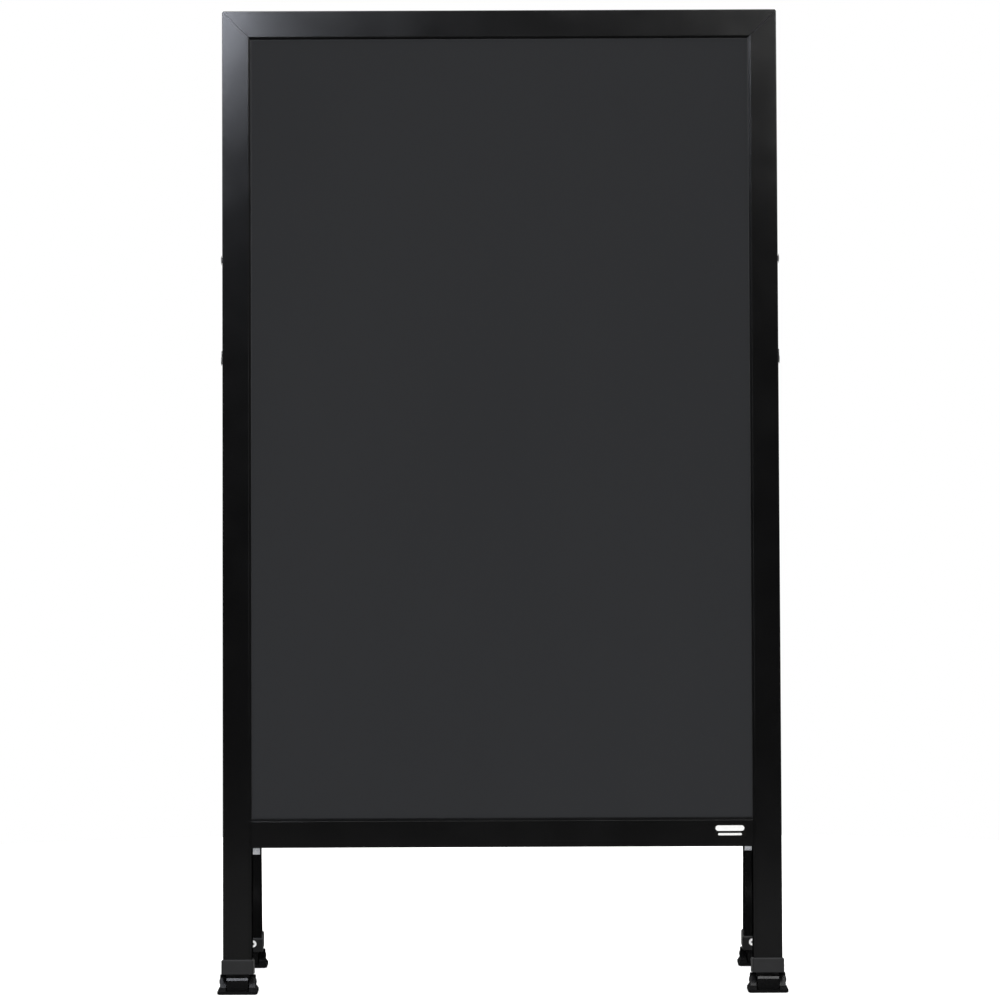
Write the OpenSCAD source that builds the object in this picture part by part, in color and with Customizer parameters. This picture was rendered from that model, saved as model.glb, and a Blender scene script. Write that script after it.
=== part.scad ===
/* [Panels] */
// Width across the outer edges of the two stiles
panel_w = 609.6; // [500:0.1:700]
// Distance from the hinge axis down to the shoe pivots, along a leg
leg_drop = 1064.2; // [950:0.1:1200]
// Distance from the top of a panel down to the lower edge of its bottom rail
rail_drop = 918.9; // [780:0.1:940]
// Thickness of a backing board
board_t = 5; // [3:0.5:7]
// Thickness of the chalk sheet bonded to it
sheet_t = 0.8; // [0.5:0.1:1.2]
// Gap between the chalk sheet and the frame all round
sheet_gap = 0.9; // [0.5:0.1:2]
// Depth that a backing board's edge reaches into the slots
board_hold = 5.5; // [3:0.5:6]

/* [Frame tube] */
// Width of the tube's face, outer edge to inner edge
tube_w = 31.2; // [29:0.05:36]
// Depth of the tube, front to back
tube_d = 38.1; // [36:0.1:42]
// Wall of the tube
tube_wall = 1.6; // [1.2:0.1:1.8]
// Width of the lowered lip along the inner edge of the face
lip_w = 2.3; // [2:0.05:3.5]
// Drop of the lip's inner edge below the face
lip_drop = 1.2; // [1:0.05:1.6]
// Open joint left between mitred ends
mitre_gap = 0.25; // [0:0.05:0.4]

/* [Fold] */
// Lean of each panel from upright when the board stands open
lean = 5.25; // [4.5:0.05:6]
// Distance from the hinge axis to a panel's inside face
hinge_offset = 5; // [5:0.1:7]
// Centre of each top hinge, from the middle of the panel
hinge_x = 190; // [100:5:220]
// Length of a hinge
hinge_w = 50; // [45:1:60]

/* [Boots and shoes] */
// Height of the shoe pivots above the ground
pivot_z = 12.3; // [12.3:0.1:14]
// Wall of a boot around its leg
boot_wall = 1.8; // [1.6:0.1:2.2]
// Height of a boot, without its tongue
boot_h = 14.4; // [13.5:0.1:20]
// Width of a shoe's base, across the leg
shoe_w = 43.6; // [42:0.1:46]
// Length of a shoe's base, front to back
shoe_l = 44; // [40:0.5:44]
// Radius of a shoe pin
shoe_pin_r = 2.5; // [2:0.1:2.8]

/* [Hook stays] */
// Distance from the hinge axis to the lower studs, along a front stile
stud_drop = 384.6; // [350:0.1:420]
// Thickness of a stay
stay_t = 1.2; // [1:0.1:1.5]
// Half the width of a stay
stay_half = 4; // [4:0.5:5]
// Radius of the studs' and pivots' shoulders
stud_r = 3; // [2.5:0.1:3]

/* [Brackets and label] */
// Width of a bracket's arms
bracket_w = 16; // [14:0.5:18]
// Thickness of a bracket
bracket_t = 1.8; // [1.5:0.1:2]
// Width and height of the label plate
label_size = [36, 15.3]; // [10:0.1:60]

/* [Hidden] */

$fn = 48;
// A length longer than anything it cuts
far = 100;
// Small gap between pieces that are fitted together
fit = 0.1;
// Radial clearance of a running fit
running = 0.05;

half_w = panel_w / 2;
// Middle of a tube's depth, measured out from the hinge axis
tube_mid = hinge_offset + tube_d / 2;
// Middle of a stile and leg, measured from the middle of the panel
leg_x = half_w - tube_w / 2;
// Width of the opening between the stiles
opening_w = panel_w - 2 * tube_w;
hinge_z = leg_drop * cos(lean) - tube_mid * sin(lean) + pivot_z;
// Distance of the shoe pivots in front of and behind the middle of the board
pivot_y = leg_drop * sin(lean) + tube_mid * cos(lean);

// Frame tube: edge radius, corner bevel, lip step, metal in front of and around the slot, slot
edge_r = 0.8;
corner_bevel = 2.4;
arris = 0.5;
lip_step = 0.8;
slot_wall = 1.3;
slot_depth = board_hold + 0.5;
slot_front = tube_d - lip_drop - slot_wall;
slot_back = slot_front - board_t - 0.2;

// Boots: the leg stops in a socket above the floor of its boot
boot_bottom = leg_drop - 8.2;
boot_floor = 2.5;
boot_bevel = 1.5;
boot_r = 2;
leg_end = boot_bottom - boot_floor;
tongue_w = 24.4;
tongue_r = 6;
boot_rivet_drop = leg_end - 6.8;
boot_rivet_x = 6.3;
boot_rivet_r = 2.4;
boot_rivet_head_r = 4;
boot_rivet_head_h = 1.4;
boot_rivet_hole_r = 1.5;
boot_rivet_bulb_r = 3.4;
boot_rivet_bulb_h = 3;
// Walls that a boot rivet passes: the boot's, and the leg's
boot_rivet_grip = boot_wall + fit + tube_wall;

// Shoes: ears either side of the tongue, on a base with flared sides
ear_r = 7.8;
ear_in = tongue_w / 2 + 0.4;
ear_out = 19.3;
ear_foot = 13;
base_low = 0.6;
base_top = 3.4;
base_edge = 2.6;
flare_top = 7;
flare_run = 4;
shoe_corner = 3;
// Webs: distance of their outer faces from the pivot, thickness, height and width of their shoulders, top
web_out = 17.4;
web_t = 8.4;
web_shoulder = 15.2;
web_slope = 1.3;
web_top = 17.8;
web_slit = 1;
pad_top = 2;
pad_inset = 1.4;
pad_corner = 2;
groove_w = 1.6;
groove_h = 0.8;
groove_pitch = 8;
pin_head_r = 4;
pin_head_h = 1;

// Hook stays: the bar lies on top of the stud, and higher than its own pivot
stay_gap = 0.2;
seat_gap = 0.25;
bar_rise = 3.75;
seat_drop = stay_half + seat_gap + stud_r - bar_rise;
tooth_gap = 0.3;
tooth_w = 5;
tooth_drop = 3.5;
eye_r = 7;
shoulder_h = stay_t + 2 * stay_gap;
stud_head_r = 5.5;
pivot_head_r = 6;
stud_head_h = 0.9;
stud_neck_r = 2.4;
stud_bulb_r = 4.2;
stud_bulb_h = 3;
pivot_drop = stud_drop - seat_drop / cos(lean);
// From a stay's pivot to the seat of its hook, with the board open
hook_reach = (pivot_drop + stud_drop) * sin(lean) + 2 * tube_mid * cos(lean);
hook_r = sqrt(hook_reach ^ 2 + seat_drop ^ 2);
// The upper studs lie on the circle of the hooks when the panels are folded together
upper_stud_drop = pivot_drop - sqrt(hook_r ^ 2 - (2 * tube_mid) ^ 2);

// Hinges: five knuckles, three of them on the front leaf
knuckle_r = 4.5;
hinge_pin_r = 2;
leaf_t = 2;
leaf_top = 6;
leaf_bottom = 34;
knuckles = 5;
knuckle_gap = 0.3;
hinge_screw_spots = [[-17, 14], [0, 27], [17, 14]];
flat_screw_r = 3.7;
screw_r = 2;
screw_l = 9;
sink_h = 1.7;

// Brackets: an L whose long arm runs down the leg past the bottom rail
bracket_top = rail_drop - 23.9;
bracket_bottom = rail_drop + 24.9;
bracket_x = opening_w / 2 + bracket_w / 2 + 0.4;
bracket_arm_l = 62;
bracket_screw_head_r = 4.2;
bracket_screw_head_h = 1.5;
// The right bracket of the rear panel is fitted higher than the other three
rear_right_lift = 2.6;

// Corner keys
key_gap = 0.3;
key_w = 20;
key_t = 12;
key_l = 60;
key_back = 6;

label_t = 0.4;
label_x = 248.3;
label_drop = 901.5;

// Places children in a panel's own axes: x across, -y outwards, -z down from the hinge axis
module on_panel(rear) {
    mirror([0, rear ? 1 : 0, 0])
        translate([0, 0, hinge_z])
            rotate([-lean, 0, 0])
                children();
}

// Mirrors children, made for the left side, to the side asked for
module on_side(side) {
    mirror([side > 0 ? 1 : 0, 0, 0]) children();
}

// Moves children out from the hinge axis and down a panel
module at(x, out, down) {
    translate([x, -out, -down]) children();
}

// Turns a piece made along +z so that it points outwards from the panel's inside face
module pointing_out() {
    rotate([90, 0, 0]) children();
}

// Turns a piece made along +z so that it points left, out of a left stile's side
module pointing_left() {
    rotate([0, -90, 0]) children();
}

module rounded_rect(w, h, r) {
    translate([-w / 2, -h / 2]) {
        translate([r, 0]) square([w - 2 * r, h]);
        translate([0, r]) square([w, h - 2 * r]);
        for (x = [r, w - r], y = [r, h - r]) translate([x, y]) circle(r);
    }
}

// A shallow dome of radius r and height h, as half of its section
module dome_section(r, h) {
    ball_r = (r * r + h * h) / (2 * h);
    intersection() {
        translate([0, h - ball_r]) circle(ball_r);
        square([r, h]);
    }
}

/* ---- frame tube ---- */

// Section of the tube: x from the outer edge to the inner edge, y from back to face
module tube_section() {
    difference() {
        translate([tube_w / 2, tube_d / 2]) rounded_rect(tube_w, tube_d, edge_r);
        lip_cut();
        translate([tube_w - slot_depth, slot_back])
            square([slot_depth + 1, slot_front - slot_back]);
        tube_cavity();
    }
}

// Lowers the inner edge of the face into a gently sloping lip, with its upper arris rounded
module lip_cut() {
    x = tube_w - lip_w;
    polygon([
        [x, tube_d - lip_step], [tube_w, tube_d - lip_drop], [tube_w + 1, tube_d - lip_drop],
        [tube_w + 1, tube_d + 1], [x, tube_d + 1]
    ]);
    difference() {
        translate([x - arris, tube_d - arris]) square(arris + 1);
        translate([x - arris, tube_d - arris]) circle(arris);
    }
}

// Hollow of the tube, which steps back around the slot
module tube_cavity() {
    in_x = tube_w - tube_wall;
    step_x = tube_w - slot_depth - slot_wall;
    step_y = slot_back - slot_wall;
    polygon([
        [tube_wall, tube_wall], [in_x, tube_wall], [in_x, step_y], [step_x, step_y],
        [step_x, tube_d - tube_wall], [tube_wall, tube_d - tube_wall]
    ]);
}

// A length of tube that hangs down from the hinge axis level, outer edge at x = 0
module tube(length) {
    translate([0, -hinge_offset, -length])
        mirror([0, 1, 0])
            linear_extrude(length) tube_section();
}

// Takes the sharp outer corner off a left top corner
module corner_cut() {
    translate([-half_w, 0, 0]) rotate([0, 45, 0]) cube([corner_bevel, 2 * far, corner_bevel], center = true);
}

// Everything on one side of a 45 degree plane through a left top corner
module mitre_side(above) {
    translate([-half_w, 0, 0])
        rotate([0, 45, 0])
            translate([-far / 2, -far / 2, above ? -mitre_gap / 2 : mitre_gap / 2 - far])
                cube(far);
}

module stile(rear, side) {
    color("#1c1c1e") on_panel(rear) difference() {
        on_side(side) difference() {
            translate([-half_w, 0, 0]) tube(leg_end - fit);
            mitre_side(true);
            corner_cut();
        }
        leg_holes(rear, side);
    }
}

module top_rail(rear) {
    color("#1c1c1e") on_panel(rear) difference() {
        translate([half_w, 0, 0]) rotate([0, 90, 0]) tube(panel_w);
        for (side = [-1, 1]) {
            on_side(side) mitre_side(false);
            on_side(side) corner_cut();
            on_side(side) hinge_screw_holes();
        }
    }
}

module bottom_rail(rear) {
    length = opening_w - 2 * fit;
    color("#1c1c1e") on_panel(rear) difference() {
        translate([-length / 2, 0, -rail_drop]) rotate([0, -90, 0]) tube(length);
        for (side = [-1, 1]) bracket_holes(rear, side);
    }
}

module leg_holes(rear, side) {
    drops = rear ? [pivot_drop] : [stud_drop, upper_stud_drop];
    on_side(side) for (down = drops)
        at(-half_w, tube_mid, down) pointing_left()
            translate([0, 0, -tube_wall - 1]) cylinder(h = tube_wall + 2, r = stud_neck_r + running);
    boot_rivet_holes(side);
    bracket_holes(rear, side);
}

// A sheet that reaches past the opening between the tubes by grow, its back this far out
module sheet(grow, back, thick) {
    w = opening_w + 2 * grow;
    top = tube_w - grow;
    bottom = rail_drop - tube_w + grow;
    at(-w / 2, back + thick, bottom) cube([w, thick, bottom - top]);
}

module backing_board(rear) {
    color("#101011") on_panel(rear) sheet(board_hold, hinge_offset + slot_back + fit, board_t);
}

module chalk_sheet(rear) {
    color("#2d2e30") on_panel(rear)
        sheet(-sheet_gap, hinge_offset + slot_back + fit + board_t, sheet_t);
}

// L-shaped block inside a mitred corner
module corner_key(rear, side) {
    start = tube_wall + key_gap;
    color("#a8aaad") on_panel(rear) on_side(side)
        at(-half_w + start, hinge_offset + key_back + key_t, start) {
            translate([0, 0, -key_l]) cube([key_w, key_t, key_l]);
            translate([0, 0, -key_w]) cube([key_l, key_t, key_w]);
        }
}

/* ---- brackets ---- */

function bracket_lift(rear, side) = rear && side > 0 ? rear_right_lift : 0;

// Screw places as distance from the middle of the panel and distance down it
function bracket_screw_spots() = [
    [bracket_x, bracket_bottom - 6.6], [bracket_x, bracket_bottom - 26],
    [bracket_x - 23, bracket_top + bracket_w / 2], [bracket_x - 45, bracket_top + bracket_w / 2]
];

module bracket_holes(rear, side, depth = tube_wall + 2, r = screw_r + running) {
    on_side(side) for (spot = bracket_screw_spots())
        at(-spot[0], hinge_offset - bracket_t - 1, spot[1] - bracket_lift(rear, side))
            pointing_out() cylinder(h = bracket_t + 1 + depth, r = r);
}

module bracket(rear, side) {
    color("#c9ccd0") on_panel(rear) difference() {
        on_side(side) at(-bracket_x, hinge_offset, -bracket_lift(rear, side)) {
            translate([-bracket_w / 2, 0, -bracket_bottom])
                cube([bracket_w, bracket_t, bracket_bottom - bracket_top]);
            translate([-bracket_w / 2, 0, -bracket_top - bracket_w])
                cube([bracket_arm_l, bracket_t, bracket_w]);
        }
        bracket_holes(rear, side);
    }
}

// Truss-head screw with a cross recess, its shank along +z and its head below
module truss_screw() {
    difference() {
        union() {
            rotate_extrude() {
                mirror([0, 1]) dome_section(bracket_screw_head_r, bracket_screw_head_h);
                square([screw_r, screw_l]);
            }
        }
        for (turn = [0, 90]) rotate(turn)
            translate([0, 0, -bracket_screw_head_h]) cube([4, 0.9, 1.6], center = true);
    }
}

module bracket_screws(rear) {
    color("#c9ccd0") on_panel(rear) for (side = [-1, 1]) on_side(side)
        for (spot = bracket_screw_spots())
            at(-spot[0], hinge_offset - bracket_t, spot[1] - bracket_lift(rear, side))
                pointing_out() truss_screw();
}

/* ---- boots and shoes ---- */

module boot_block() {
    w = tube_w + 2 * boot_wall;
    d = tube_d + 2 * boot_wall;
    top = boot_h + boot_bevel;
    intersection() {
        linear_extrude(top) rounded_rect(w, d, boot_r);
        translate([0, d / 2, 0]) rotate([90, 0, 0])
            linear_extrude(d) bevelled_side(w);
        translate([-w / 2, 0, 0]) rotate([90, 0, 90])
            linear_extrude(w) bevelled_side(d);
    }
}

// Side view of the boot's block: square below, sloping in to the leg at the top
module bevelled_side(w) {
    in = boot_wall - 0.6;
    polygon([
        [-w / 2, 0], [w / 2, 0], [w / 2, boot_h],
        [w / 2 - in, boot_h + boot_bevel], [in - w / 2, boot_h + boot_bevel], [-w / 2, boot_h]
    ]);
}

module boot(rear, side) {
    color("#242426") on_panel(rear) difference() {
        at(side * leg_x, tube_mid, boot_bottom) {
            difference() {
                boot_block();
                translate([0, 0, boot_floor + far / 2])
                    cube([tube_w + 2 * fit, tube_d + 2 * fit, far], center = true);
            }
            boot_tongue();
        }
        boot_rivet_holes(side);
    }
}

module boot_tongue() {
    reach = leg_drop - boot_bottom;
    difference() {
        union() {
            translate([0, 0, -reach]) rotate([0, 90, 0])
                cylinder(h = tongue_w, r = tongue_r, center = true);
            translate([-tongue_w / 2, -tongue_r, -reach])
                cube([tongue_w, 2 * tongue_r, reach + 0.5]);
        }
        translate([0, 0, -reach]) rotate([0, 90, 0])
            cylinder(h = tongue_w + 2, r = shoe_pin_r + running, center = true);
    }
}

module boot_rivet_holes(side) {
    for (x = [-boot_rivet_x, boot_rivet_x])
        at(side * leg_x + x, 0, boot_rivet_drop) pointing_out()
            cylinder(h = hinge_offset + tube_wall + 1, r = boot_rivet_r + running);
}

// Hollow blind rivet: its head below, its shank along +z and a bulb behind the walls
module boot_rivet() {
    rotate_extrude() difference() {
        union() {
            mirror([0, 1]) dome_section(boot_rivet_head_r, boot_rivet_head_h);
            square([boot_rivet_r, boot_rivet_grip + fit]);
            translate([0, boot_rivet_grip + fit]) square([boot_rivet_bulb_r, boot_rivet_bulb_h]);
        }
        translate([0, -boot_rivet_head_h - 1]) square([boot_rivet_hole_r, far]);
    }
}

module boot_rivets(rear) {
    color("#d4d6d8") on_panel(rear) for (side = [-1, 1], x = [-boot_rivet_x, boot_rivet_x])
        at(side * leg_x + x, hinge_offset - boot_wall - fit / 2, boot_rivet_drop)
            pointing_out() boot_rivet();
}

// Headed pin through a shoe's ears and its boot's tongue
module shoe_pin(rear, side) {
    half_l = ear_out + 0.2;
    color("#2b2b2d") on_panel(rear) at(side * leg_x, tube_mid, leg_drop)
        rotate([0, 90, 0]) rotate_extrude() {
            translate([0, -half_l]) square([shoe_pin_r, 2 * half_l]);
            translate([0, half_l]) dome_section(pin_head_r, pin_head_h);
            translate([0, -half_l]) mirror([0, 1]) dome_section(pin_head_r, pin_head_h);
        }
}

module on_ground(rear, side) {
    translate([side * leg_x, rear ? pivot_y : -pivot_y, 0]) children();
}

// Clevis foot: a base with flared sides, two ears, and a web in front and behind the tongue
module shoe(rear, side) {
    color("#202022") on_ground(rear, side) difference() {
        union() {
            shoe_base();
            for (turn = [0, 180]) rotate(turn) {
                shoe_flank();
                shoe_web();
            }
            shoe_ears();
        }
        translate([0, 0, pivot_z]) rotate([0, 90, 0])
            cylinder(h = far, r = shoe_pin_r + running, center = true);
        linear_extrude(pad_top)
            rounded_rect(shoe_w - 2 * pad_inset, shoe_l - 2 * pad_inset, pad_corner);
    }
}

module shoe_base() {
    translate([0, 0, base_low]) linear_extrude(base_top - base_low)
        rounded_rect(shoe_w, shoe_l, shoe_corner);
}

// One flared side of the base, sloping down at the front and back
module shoe_flank() {
    intersection() {
        translate([0, shoe_l / 2, 0]) rotate([90, 0, 0]) linear_extrude(shoe_l)
            polygon([
                [ear_in, base_low], [shoe_w / 2, base_low], [shoe_w / 2, base_edge],
                [ear_out, flare_top], [ear_in, flare_top]
            ]);
        rotate([90, 0, 90]) linear_extrude(shoe_w)
            polygon([
                [-shoe_l / 2, 0], [shoe_l / 2, 0], [shoe_l / 2, base_edge],
                [shoe_l / 2 - flare_run, flare_top], [flare_run - shoe_l / 2, flare_top],
                [-shoe_l / 2, base_edge]
            ]);
        translate([0, 0, base_low])
            linear_extrude(flare_top) rounded_rect(shoe_w, shoe_l, shoe_corner);
    }
}

// Web between the ears with sloping shoulders, parted from them by narrow slits
module shoe_web() {
    w = 2 * (ear_in - web_slit);
    in = web_out - web_t;
    translate([-w / 2, 0, 0]) rotate([90, 0, 90]) linear_extrude(w) polygon([
        [in, base_low + 2], [web_out, base_low + 2], [web_out, web_shoulder],
        [web_out - web_slope, web_top], [in + web_slope, web_top], [in, web_shoulder]
    ]);
}

module shoe_ears() {
    for (x = [-ear_out, ear_in]) translate([x, 0, 0]) rotate([90, 0, 90])
        linear_extrude(ear_out - ear_in) {
            translate([0, pivot_z]) circle(ear_r);
            polygon([
                [-ear_foot, base_top - 0.5], [ear_foot, base_top - 0.5], [ear_foot, flare_top],
                [ear_r * cos(35), pivot_z + ear_r * sin(35)],
                [-ear_r * cos(35), pivot_z + ear_r * sin(35)], [-ear_foot, flare_top]
            ]);
        }
}

// Rubber sole let into the underside of a shoe, with cross grooves
module pad(rear, side) {
    w = shoe_w - 2 * pad_inset - 2 * fit;
    l = shoe_l - 2 * pad_inset - 2 * fit;
    color("#151515") on_ground(rear, side) difference() {
        linear_extrude(pad_top - fit / 2) rounded_rect(w, l, pad_corner);
        for (row = [-1.5:1.5]) translate([0, row * groove_pitch, 0])
            cube([w + 2, groove_w, 2 * groove_h], center = true);
    }
}

/* ---- hook stays ---- */

// Shouldered rivet through a tube's side wall, whose outer face is at z = 0
module shoulder_rivet(head_r) {
    back = tube_wall + fit;
    rotate_extrude() {
        translate([0, -back - stud_bulb_h]) square([stud_bulb_r, stud_bulb_h]);
        translate([0, -back - 1]) square([stud_neck_r, back + 1 + fit]);
        translate([0, fit / 2]) square([stud_r, shoulder_h]);
        translate([0, shoulder_h]) dome_section(head_r, stud_head_h);
    }
}

module stay_studs() {
    color("#1c1c1e") on_panel(false) for (side = [-1, 1]) on_side(side)
        for (down = [stud_drop, upper_stud_drop])
            at(-half_w, tube_mid, down) pointing_left() shoulder_rivet(stud_head_r);
}

module stay_pivots() {
    color("#1c1c1e") on_panel(true) for (side = [-1, 1]) on_side(side)
        at(-half_w, tube_mid, pivot_drop) pointing_left() shoulder_rivet(pivot_head_r);
}

// Outline of a stay: x towards the front from its pivot, y up
module stay_outline() {
    tooth_x = hook_reach + stud_r + tooth_gap;
    end_x = tooth_x + tooth_w - stay_half;
    tooth_low = seat_drop + tooth_drop - tooth_w / 2;
    circle(eye_r);
    translate([0, bar_rise - stay_half]) square([end_x, 2 * stay_half]);
    translate([end_x, bar_rise]) circle(stay_half);
    translate([tooth_x, -tooth_low]) square([tooth_w, tooth_low + bar_rise]);
    translate([tooth_x + tooth_w / 2, -tooth_low]) circle(tooth_w / 2);
}

module stay(side) {
    y = pivot_drop * sin(lean) + tube_mid * cos(lean);
    z = hinge_z - pivot_drop * cos(lean) + tube_mid * sin(lean);
    color("#1c1c1e") on_side(side)
        translate([-half_w - stay_gap, y, z]) rotate([90, 0, -90]) linear_extrude(stay_t)
            difference() {
                stay_outline();
                circle(stud_r + running);
            }
}

/* ---- hinges ---- */

module hinge_screw_holes() {
    for (spot = hinge_screw_spots) at(spot[0] - hinge_x, 0, spot[1]) pointing_out()
        cylinder(h = hinge_offset + tube_wall + 1, r = screw_r + running);
}

// Leaf on a panel's inside face, with its share of the knuckles
module hinge_leaf(rear, side) {
    pitch = hinge_w / knuckles;
    bore = hinge_pin_r + (rear ? 1.2 * running : running / 2);
    color("#9a9c9f") on_panel(rear) at(side * hinge_x, 0, 0) difference() {
        union() {
            at(-hinge_w / 2, hinge_offset, leaf_bottom)
                cube([hinge_w, leaf_t, leaf_bottom - leaf_top]);
            for (k = [rear ? 1 : 0 : 2 : knuckles - 1])
                translate([-hinge_w / 2 + k * pitch + knuckle_gap / 2, 0, 0])
                    knuckle(pitch - knuckle_gap);
        }
        rotate([0, 90, 0]) cylinder(h = far, r = bore, center = true);
        for (spot = hinge_screw_spots)
            at(spot[0], hinge_offset - leaf_t, spot[1]) pointing_out() {
                translate([0, 0, -1]) cylinder(h = leaf_t + 2, r = screw_r + running);
                translate([0, 0, -fit])
                    cylinder(h = sink_h + fit, r1 = flat_screw_r + 2 * fit, r2 = screw_r + fit);
            }
    }
}

module knuckle(length) {
    rotate([0, 90, 0]) cylinder(h = length, r = knuckle_r);
    at(0, hinge_offset, leaf_top + 1) cube([length, leaf_t, leaf_top + 1]);
}

module hinge_screws(rear) {
    color("#9a9c9f") on_panel(rear) for (side = [-1, 1]) on_side(side)
        for (spot = hinge_screw_spots)
            at(spot[0] - hinge_x, hinge_offset - leaf_t, spot[1]) pointing_out()
                rotate_extrude() polygon([
                    [0, 0], [flat_screw_r, 0], [screw_r, sink_h], [screw_r, screw_l], [0, screw_l + 2]
                ]);
}

module hinge_pin(side) {
    head_h = 1;
    half_l = hinge_w / 2 + 0.3;
    color("#9a9c9f") on_panel(false) at(side * hinge_x, 0, 0)
        rotate([0, 90, 0]) rotate_extrude() {
            translate([0, -half_l]) square([hinge_pin_r, 2 * half_l]);
            translate([0, half_l]) dome_section(hinge_pin_r + 1, head_h);
            translate([0, -half_l]) mirror([0, 1]) dome_section(hinge_pin_r + 1, head_h);
        }
}

module label() {
    color("#d8d8d8") on_panel(false)
        at(label_x - label_size[0] / 2, hinge_offset + tube_d + label_t, label_drop + label_size[1] / 2)
            cube([label_size[0], label_t, label_size[1]]);
}

/* ---- nodes ---- */

stile(false, -1);  // front_left_stile
stile(false, 1);  // front_right_stile
top_rail(false);  // front_top_rail
bottom_rail(false);  // front_bottom_rail
backing_board(false);  // front_backing_board
chalk_sheet(false);  // front_chalk_sheet
corner_key(false, -1);  // front_left_corner_key
corner_key(false, 1);  // front_right_corner_key
bracket(false, -1);  // front_left_bracket
bracket(false, 1);  // front_right_bracket
bracket_screws(false);  // front_bracket_screws
boot(false, -1);  // front_left_boot
boot(false, 1);  // front_right_boot
boot_rivets(false);  // front_boot_rivets
shoe_pin(false, -1);  // front_left_shoe_pin
shoe_pin(false, 1);  // front_right_shoe_pin
stay_studs();  // front_stay_studs
hinge_leaf(false, -1);  // front_left_hinge_leaf
hinge_leaf(false, 1);  // front_right_hinge_leaf
hinge_screws(false);  // front_hinge_screws
hinge_pin(-1);  // left_hinge_pin
hinge_pin(1);  // right_hinge_pin
label();  // front_label
stile(true, -1);  // rear_left_stile
stile(true, 1);  // rear_right_stile
top_rail(true);  // rear_top_rail
bottom_rail(true);  // rear_bottom_rail
backing_board(true);  // rear_backing_board
chalk_sheet(true);  // rear_chalk_sheet
corner_key(true, -1);  // rear_left_corner_key
corner_key(true, 1);  // rear_right_corner_key
bracket(true, -1);  // rear_left_bracket
bracket(true, 1);  // rear_right_bracket
bracket_screws(true);  // rear_bracket_screws
boot(true, -1);  // rear_left_boot
boot(true, 1);  // rear_right_boot
boot_rivets(true);  // rear_boot_rivets
shoe_pin(true, -1);  // rear_left_shoe_pin
shoe_pin(true, 1);  // rear_right_shoe_pin
stay_pivots();  // rear_stay_pivots
hinge_leaf(true, -1);  // rear_left_hinge_leaf
hinge_leaf(true, 1);  // rear_right_hinge_leaf
hinge_screws(true);  // rear_hinge_screws
stay(-1);  // left_stay
stay(1);  // right_stay
shoe(false, -1);  // front_left_shoe
shoe(false, 1);  // front_right_shoe
shoe(true, -1);  // rear_left_shoe
shoe(true, 1);  // rear_right_shoe
pad(false, -1);  // front_left_pad
pad(false, 1);  // front_right_pad
pad(true, -1);  // rear_left_pad
pad(true, 1);  // rear_right_pad
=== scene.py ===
"""Looks of the folding chalkboard sign: materials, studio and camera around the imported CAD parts."""

import math

import bpy
from mathutils import Matrix, Vector


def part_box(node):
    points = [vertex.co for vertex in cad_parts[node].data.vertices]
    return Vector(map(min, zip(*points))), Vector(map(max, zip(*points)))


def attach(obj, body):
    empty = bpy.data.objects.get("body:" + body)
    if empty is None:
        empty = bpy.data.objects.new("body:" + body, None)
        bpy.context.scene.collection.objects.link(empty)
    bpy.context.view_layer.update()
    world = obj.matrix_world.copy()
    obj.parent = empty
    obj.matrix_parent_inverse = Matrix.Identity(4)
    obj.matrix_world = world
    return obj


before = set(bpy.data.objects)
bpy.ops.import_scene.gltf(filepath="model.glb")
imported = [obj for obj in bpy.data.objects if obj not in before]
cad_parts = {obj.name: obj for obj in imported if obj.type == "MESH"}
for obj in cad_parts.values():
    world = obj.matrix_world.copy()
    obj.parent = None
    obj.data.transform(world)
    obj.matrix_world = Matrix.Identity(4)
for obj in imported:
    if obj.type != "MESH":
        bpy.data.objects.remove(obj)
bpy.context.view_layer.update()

# How far each panel leans from upright
LEAN = math.radians(5.25)
X_AXIS, Z_AXIS = 0, 2

# ---- node helpers ----


def start_material(name, base, roughness, metallic=0.0):
    """A new material with one Principled shader, and the object coordinates that its textures use."""
    material = bpy.data.materials.new(name)
    material.use_nodes = True
    tree = material.node_tree
    shader = tree.nodes["Principled BSDF"]
    shader.inputs["Base Color"].default_value = (*base, 1.0)
    shader.inputs["Roughness"].default_value = roughness
    shader.inputs["Metallic"].default_value = metallic
    coordinates = tree.nodes.new("ShaderNodeTexCoord")
    return material, tree, shader, coordinates.outputs["Object"]


def stretched(tree, vector, scale, turn=(0.0, 0.0, 0.0)):
    """The coordinates turned, then scaled by a different amount along each axis."""
    mapping = tree.nodes.new("ShaderNodeMapping")
    mapping.inputs["Rotation"].default_value = turn
    mapping.inputs["Scale"].default_value = scale
    tree.links.new(vector, mapping.inputs["Vector"])
    return mapping.outputs["Vector"]


def noise(tree, vector, scale, detail=2.0, roughness=0.5):
    """A noise texture's value, with its scale in cycles per unit of the vector."""
    node = tree.nodes.new("ShaderNodeTexNoise")
    node.inputs["Scale"].default_value = scale
    node.inputs["Detail"].default_value = detail
    node.inputs["Roughness"].default_value = roughness
    tree.links.new(vector, node.inputs["Vector"])
    return node.outputs[0]


def ranged(tree, value, low, high, from_low=0.3, from_high=0.7):
    """A texture value turned into a number between low and high."""
    node = tree.nodes.new("ShaderNodeMapRange")
    node.inputs["From Min"].default_value = from_low
    node.inputs["From Max"].default_value = from_high
    node.inputs["To Min"].default_value = low
    node.inputs["To Max"].default_value = high
    tree.links.new(value, node.inputs["Value"])
    return node.outputs[0]


def tinted(tree, value, dark, light, low=0.3, high=0.7):
    """A colour between dark and light, chosen by a texture value."""
    node = tree.nodes.new("ShaderNodeValToRGB")
    node.color_ramp.elements[0].position = low
    node.color_ramp.elements[0].color = (*dark, 1.0)
    node.color_ramp.elements[1].position = high
    node.color_ramp.elements[1].color = (*light, 1.0)
    tree.links.new(value, node.inputs["Fac"])
    return node.outputs["Color"]


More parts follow.
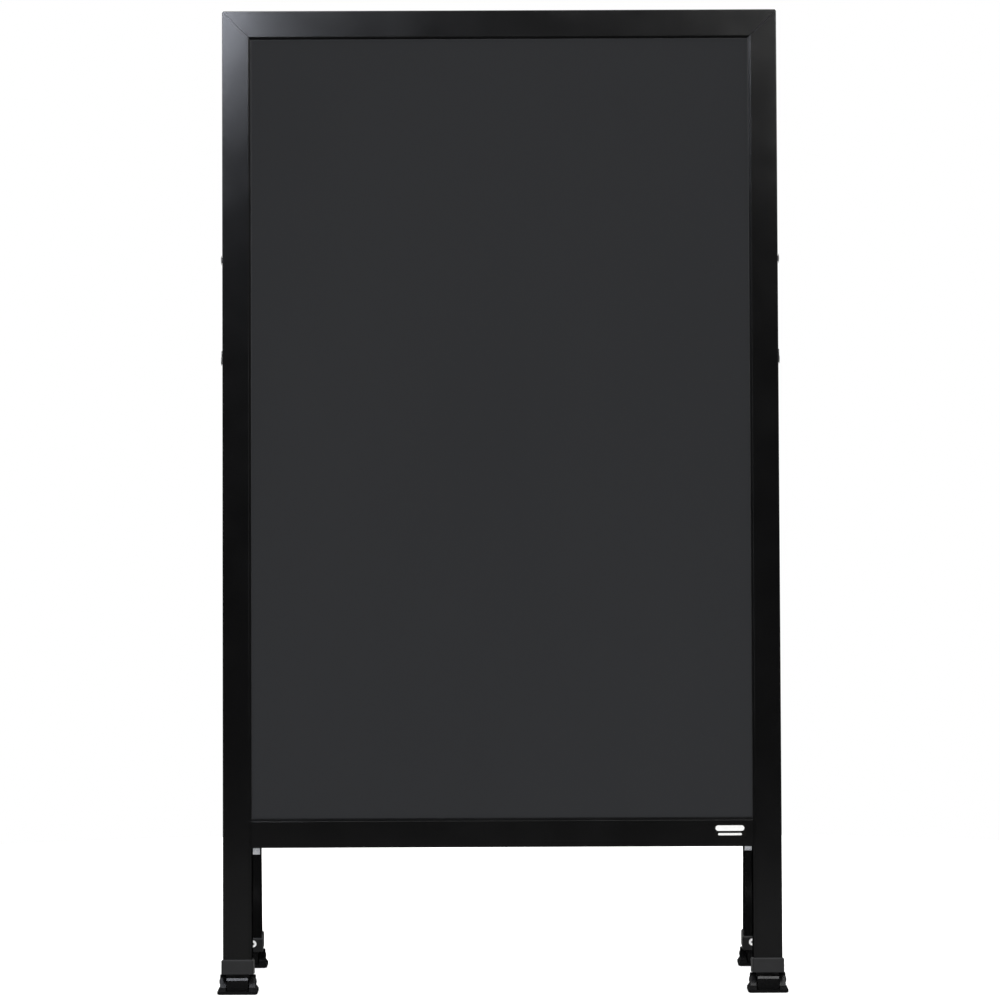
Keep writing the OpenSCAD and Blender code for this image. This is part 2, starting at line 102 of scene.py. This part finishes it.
def bump(tree, height, distance, strength, below=None):
    """A normal raised by a texture value, laid over the normal below it if there is one."""
    node = tree.nodes.new("ShaderNodeBump")
    node.inputs["Strength"].default_value = strength
    node.inputs["Distance"].default_value = distance
    tree.links.new(height, node.inputs["Height"])
    if below is not None:
        tree.links.new(below, node.inputs["Normal"])
    return node.outputs["Normal"]


def set_shader(material, socket, value):
    """Changes one constant of a finished material's shader."""
    material.node_tree.nodes["Principled BSDF"].inputs[socket].default_value = value


# ---- materials ----


def frame_black(name, along, turn, roughness):
    """Satin black finish on an extruded tube: fine grain, with faint draw lines along the tube."""
    base, dark, light = (0.0031, 0.0031, 0.0032), (0.0028, 0.0028, 0.0029), (0.0034, 0.0034, 0.0035)
    lines_along, lines_across = 14.0, 480.0
    spread = 0.013
    material, tree, shader, at = start_material(name, base, roughness)
    link = tree.links.new
    line_scale = tuple(lines_along if axis == along else lines_across for axis in range(3))
    lines = noise(tree, stretched(tree, at, line_scale, turn), 1.0)
    grain = noise(tree, at, 1900.0, 2.0, 0.6)
    cloud = noise(tree, at, 22.0, 3.0)
    link(tinted(tree, cloud, dark, light), shader.inputs["Base Color"])
    link(ranged(tree, cloud, roughness - spread, roughness + spread), shader.inputs["Roughness"])
    grain_normal = bump(tree, grain, 0.00001, 0.3)
    link(bump(tree, lines, 0.000012, 0.4, grain_normal), shader.inputs["Normal"])
    return material


def chalk_surface():
    """Matt writing surface: very fine tooth, with the faint cloudiness that wiping leaves."""
    base, dark, light = (0.0221, 0.0229, 0.0246), (0.0214, 0.0222, 0.0239), (0.0228, 0.0236, 0.0253)
    material, tree, shader, at = start_material("chalk_surface", base, 0.82)
    link = tree.links.new
    shader.inputs["Specular IOR Level"].default_value = 0.03
    wiped = noise(tree, stretched(tree, at, (3.0, 3.0, 1.4)), 1.6, 4.0, 0.55)
    tooth = noise(tree, at, 2600.0, 2.0, 0.6)
    link(tinted(tree, wiped, dark, light), shader.inputs["Base Color"])
    link(ranged(tree, tooth, 0.76, 0.9), shader.inputs["Roughness"])
    link(bump(tree, tooth, 0.00003, 0.5), shader.inputs["Normal"])
    return material


def moulded_plastic(name, base, roughness, grain_scale=900.0, depth=0.00004):
    """Black moulded plastic with a fine spark-eroded texture."""
    material, tree, shader, at = start_material(name, base, roughness)
    link = tree.links.new
    grain = noise(tree, at, grain_scale, 3.0, 0.6)
    cloud = noise(tree, at, 45.0, 2.0)
    dark = tuple(0.86 * c for c in base)
    light = tuple(1.16 * c for c in base)
    link(tinted(tree, cloud, dark, light), shader.inputs["Base Color"])
    link(ranged(tree, grain, roughness - 0.05, roughness + 0.07), shader.inputs["Roughness"])
    link(bump(tree, grain, depth, 0.5), shader.inputs["Normal"])
    return material


def rubber():
    """Black rubber with pale dust in patches."""
    black, dusty = (0.010, 0.010, 0.010), (0.022, 0.021, 0.020)
    material, tree, shader, at = start_material("pad_rubber", (0.012, 0.012, 0.012), 0.75)
    link = tree.links.new
    dust = noise(tree, at, 130.0, 4.0, 0.65)
    grain = noise(tree, at, 1500.0, 2.0)
    link(tinted(tree, dust, black, dusty, 0.45, 0.75), shader.inputs["Base Color"])
    link(ranged(tree, dust, 0.68, 0.86), shader.inputs["Roughness"])
    link(bump(tree, grain, 0.00006, 0.6), shader.inputs["Normal"])
    return material


def plated_metal(name, dark, light, roughness, streaks, metallic):
    """Zinc plate or aluminium: cloudy colour and gloss, with rolling streaks of this scale per axis."""
    material, tree, shader, at = start_material(name, light, roughness, metallic)
    link = tree.links.new
    cloud = noise(tree, at, 170.0, 4.0, 0.6)
    rolled = noise(tree, stretched(tree, at, streaks), 1.0, 3.0)
    link(tinted(tree, cloud, dark, light, 0.35, 0.65), shader.inputs["Base Color"])
    link(ranged(tree, cloud, roughness - 0.06, roughness + 0.1), shader.inputs["Roughness"])
    link(bump(tree, rolled, 0.00002, 0.5), shader.inputs["Normal"])
    return material


def label_film(name, base, roughness):
    """Printed film: nearly even colour, with a slight ripple in its gloss."""
    material, tree, shader, at = start_material(name, base, roughness)
    link = tree.links.new
    cloud = noise(tree, at, 260.0, 3.0)
    link(tinted(tree, cloud, tuple(0.93 * c for c in base), base), shader.inputs["Base Color"])
    link(ranged(tree, cloud, roughness - 0.03, roughness + 0.03), shader.inputs["Roughness"])
    link(bump(tree, cloud, 0.00002, 0.3), shader.inputs["Normal"])
    return material


rail_black = frame_black("frame_black_rail", X_AXIS, (0.0, 0.0, 0.0), 0.163)
stile_black = {
    "front": frame_black("frame_black_front_stile", Z_AXIS, (LEAN, 0.0, 0.0), 0.16),
    "rear": frame_black("frame_black_rear_stile", Z_AXIS, (-LEAN, 0.0, 0.0), 0.16),
}
chalk = chalk_surface()
boot_plastic = moulded_plastic("boot_plastic", (0.0105, 0.0105, 0.0110), 0.5)
set_shader(boot_plastic, "Sheen Weight", 0.08)
set_shader(boot_plastic, "Sheen Roughness", 0.25)
shoe_plastic = moulded_plastic("shoe_plastic", (0.005, 0.005, 0.0053), 0.28, depth=0.000008)
set_shader(shoe_plastic, "Specular IOR Level", 0.25)
black_pin = moulded_plastic("black_pin", (0.006, 0.006, 0.006), 0.3, 1400.0, 0.00002)
black_steel = moulded_plastic("black_coated_steel", (0.0045, 0.0045, 0.0047), 0.28, 1100.0, 0.00002)
# Black backing board behind the chalk sheet; its black edge, seen in the gap under the frame's lip, is
# also painted shade that stands for the shadow in that gap
backing_black_and_gap_shade = moulded_plastic("backing_board", (0.004, 0.004, 0.004), 0.6, 700.0, 0.00005)
pad_rubber = rubber()
zinc = plated_metal(
    "zinc_plate", (0.50, 0.52, 0.55), (0.74, 0.75, 0.77),
    roughness=0.3, streaks=(60.0, 60.0, 1800.0), metallic=0.45,
)
rivet_metal = plated_metal(
    "rivet_aluminium", (0.84, 0.84, 0.85), (0.96, 0.96, 0.96),
    roughness=0.3, streaks=(500.0, 500.0, 500.0), metallic=0.1,
)
hinge_steel = plated_metal(
    "hinge_steel", (0.30, 0.30, 0.31), (0.46, 0.46, 0.46),
    roughness=0.34, streaks=(40.0, 1500.0, 1500.0), metallic=0.7,
)
mill_aluminium = plated_metal(
    "mill_aluminium", (0.55, 0.56, 0.57), (0.72, 0.73, 0.74),
    roughness=0.36, streaks=(50.0, 50.0, 50.0), metallic=1.0,
)
label_black = label_film("label_black", (0.0042, 0.0040, 0.0038), 0.17)
label_pale = label_film("label_pale", (0.80, 0.80, 0.79), 0.4)


def material_for(node):
    """The material of a CAD node, found from the end of the node's name."""
    side = node.split("_")[0]
    endings = (
        ("stile", stile_black.get(side)), ("rail", rail_black), ("corner_key", mill_aluminium),
        ("chalk_sheet", chalk), ("backing_board", backing_black_and_gap_shade), ("label", label_black),
        ("bracket", zinc), ("bracket_screws", zinc),
        ("boot", boot_plastic), ("boot_rivets", rivet_metal),
        ("shoe", shoe_plastic), ("shoe_pin", black_pin), ("pad", pad_rubber),
        ("stay", black_steel), ("stay_studs", black_steel), ("stay_pivots", black_steel),
        ("hinge_leaf", hinge_steel), ("hinge_pin", hinge_steel), ("hinge_screws", hinge_steel),
    )
    for ending, material in endings:
        if node.endswith(ending):
            return material
    raise ValueError(node)


for name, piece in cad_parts.items():
    piece.data.materials.clear()
    piece.data.materials.append(material_for(name))

# ---- label: two plain printed bars, with no lettering ----

BAR_PROUD = 0.00012
END_STEPS = 8

# The label leans with its panel: the middle of its face lies half its thickness out from its middle
label_low, label_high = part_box("front_label")
label_middle = (label_low + label_high) / 2
label_height = (label_high.z - label_low.z) / math.cos(LEAN)
label_thick = (label_high.y - label_low.y - label_height * math.sin(LEAN)) / math.cos(LEAN)
label_face = label_middle + Vector((0.0, -math.cos(LEAN), math.sin(LEAN))) * label_thick / 2


def flat_bar(name, rise, width, height):
    """A thin bar with round ends, slightly proud of the label's face and this far above its middle."""
    radius = height / 2
    outline = []
    for centre, first in ((width / 2 - radius, -math.pi / 2), (radius - width / 2, math.pi / 2)):
        for step in range(END_STEPS + 1):
            angle = first + math.pi * step / END_STEPS
            outline.append((centre + radius * math.cos(angle), rise + radius * math.sin(angle)))
    points = [(u, -BAR_PROUD, v) for u, v in outline] + [(u, 0.0, v) for u, v in outline]
    count = len(outline)
    faces = [tuple(range(count)), tuple(reversed(range(count, 2 * count)))]
    faces += [(i, i + count, (i + 1) % count + count, (i + 1) % count) for i in range(count)]
    mesh = bpy.data.meshes.new(name)
    mesh.from_pydata(points, [], faces)
    mesh.update()
    bar = bpy.data.objects.new(name, mesh)
    bpy.context.scene.collection.objects.link(bar)
    bar.data.materials.append(label_pale)
    bar.matrix_world = Matrix.Translation(label_face) @ Matrix.Rotation(-LEAN, 4, "X")
    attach(bar, "front_panel")


flat_bar("label_band_wide", rise=0.0024, width=0.0315, height=0.0060)
flat_bar("label_band_narrow", rise=-0.0042, width=0.0260, height=0.0024)

# ---- studio ----


def area_light(name, place, target, width, height, watts, colour=(1.0, 1.0, 1.0)):
    """A soft rectangular lamp at one place, turned to a target, that shows in reflections only."""
    data = bpy.data.lights.new(name, "AREA")
    data.shape = "RECTANGLE"
    data.size = width
    data.size_y = height
    data.energy = watts
    data.color = colour
    lamp = bpy.data.objects.new(name, data)
    lamp.location = place
    lamp.rotation_euler = (Vector(target) - Vector(place)).to_track_quat("-Z", "Y").to_euler()
    bpy.context.scene.collection.objects.link(lamp)
    lamp.visible_camera = False
    lamp.visible_diffuse = False
    return lamp


COOL = (0.85, 0.89, 1.0)
area_light("softbox_left", (-0.65, -1.6, 1.656), (-0.1, 0.0, 0.95), 0.542, 0.542, 23.2, COOL)
area_light("softbox_right", (0.841, -1.6, 1.786), (0.1, 0.0, 0.95), 0.8, 0.8, 25.0)
area_light("wide_front", (0.0, -2.2, 2.5), (0.0, 0.0, 0.9), 2.4, 1.2, 27.0)
area_light("low_front", (0.0, -1.6, 0.135), (0.0, 0.0, 0.135), 2.4, 0.27, 0.35)
area_light("floor_bounce", (0.0, -1.2, 0.01), (0.0, -1.2, 1.0), 2.0, 1.0, 8.0)
for side in (-1, 1):
    area_light(f"side_strip_{side}", (2.6 * side, -0.25, 1.1), (0.0, 0.0, 0.7), 1.1, 1.5, 13.0)
area_light("softbox_rear_left", (-1.8, 2.2, 1.3), (0.0, 0.0, 0.8), 1.3, 1.6, 20.0)
area_light("softbox_rear_right", (1.8, 2.1, 1.2), (0.0, 0.0, 0.8), 1.2, 1.6, 13.0)

# The one lamp that lights matt surfaces, and that no reflection shows
overhead = area_light("overhead", (0.0, 0.3, 3.2), (0.0, 0.0, 0.0), 2.4, 2.4, 60.0)
overhead.visible_diffuse = True
overhead.visible_glossy = False

# The white surroundings light surfaces evenly but leave glossy black ones black
world = bpy.data.worlds.new("studio")
bpy.context.scene.world = world
world.use_nodes = True
world.node_tree.nodes["Background"].inputs["Color"].default_value = (1.0, 1.0, 1.0, 1.0)
world.node_tree.nodes["Background"].inputs["Strength"].default_value = 1.0
world.cycles_visibility.glossy = False

FLOOR_RADIUS = 1.7
FLOOR_SIDES = 96
floor_angles = [2 * math.pi * i / FLOOR_SIDES for i in range(FLOOR_SIDES)]
floor_points = [(FLOOR_RADIUS * math.cos(a), FLOOR_RADIUS * math.sin(a), 0.0) for a in floor_angles]
floor_mesh = bpy.data.meshes.new("floor")
floor_mesh.from_pydata(floor_points, [], [tuple(range(FLOOR_SIDES))])
floor = bpy.data.objects.new("floor", floor_mesh)
bpy.context.scene.collection.objects.link(floor)
floor_white = start_material("floor_white", (0.8, 0.8, 0.8), 0.9)[0]
set_shader(floor_white, "Specular IOR Level", 0.1)
set_shader(floor_white, "Emission Color", (1.0, 1.0, 1.0, 1.0))
set_shader(floor_white, "Emission Strength", 0.62)
floor.data.materials.append(floor_white)
floor.visible_glossy = False

# ---- camera: a long lens in front, a little above the middle; turns in radians ----

LENS = 194.45
SENSOR_WIDTH = 36.0
CAMERA_PLACE = (-0.0005, -6.0, 0.7353)
CAMERA_PITCH = -0.03367
CAMERA_ROLL = 0.004
CAMERA_YAW = 0.000085
camera_data = bpy.data.cameras.new("camera")
camera_data.lens = LENS
camera_data.sensor_width = SENSOR_WIDTH
camera_data.clip_end = 100.0
camera = bpy.data.objects.new("camera", camera_data)
bpy.context.scene.collection.objects.link(camera)
camera.matrix_world = (
    Matrix.Translation(Vector(CAMERA_PLACE))
    @ Matrix.Rotation(CAMERA_YAW, 4, "Z")
    @ Matrix.Rotation(CAMERA_PITCH, 4, "X")
    @ Matrix.Rotation(CAMERA_ROLL, 4, "Y")
    @ Matrix.Rotation(math.pi / 2, 4, "X")
)
bpy.context.scene.camera = camera
bpy.context.scene.view_settings.view_transform = "Standard"
bpy.context.scene.view_settings.look = "None"
